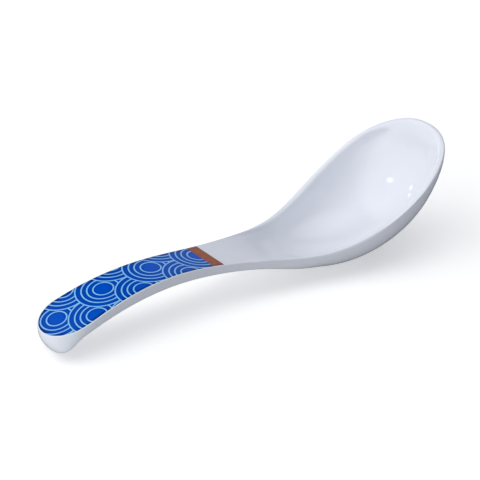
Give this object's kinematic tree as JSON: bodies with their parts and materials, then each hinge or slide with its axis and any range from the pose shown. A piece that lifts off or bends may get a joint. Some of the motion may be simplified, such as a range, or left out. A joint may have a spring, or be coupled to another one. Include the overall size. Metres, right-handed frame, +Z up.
{
  "type": "chinese soup spoon",
  "caption": "Deep-bowled soup spoon with an arched handle, a thick heel under the handle's rounded tip, and a ring-patterned printed foil let into the top of the handle.",
  "frame": {"origin": "on the table that the spoon rests on, under the middle of its overall length and on its middle plane", "axes": "+X along the spoon to the front of the bowl, +Y to the spoon's left seen from the handle, +Z up from the table"},
  "size_m": [0.16, 0.0438, 0.0365],
  "materials": {
    "white_melamine": "glossy",
    "blue_print": "glossy",
    "brown_print": "glossy"
  },
  "bodies": {
    "root": {"spoon_body": "white_melamine", "printed_foil": "blue_print", "end_band": "brown_print"}
  },
  "joints": []
}
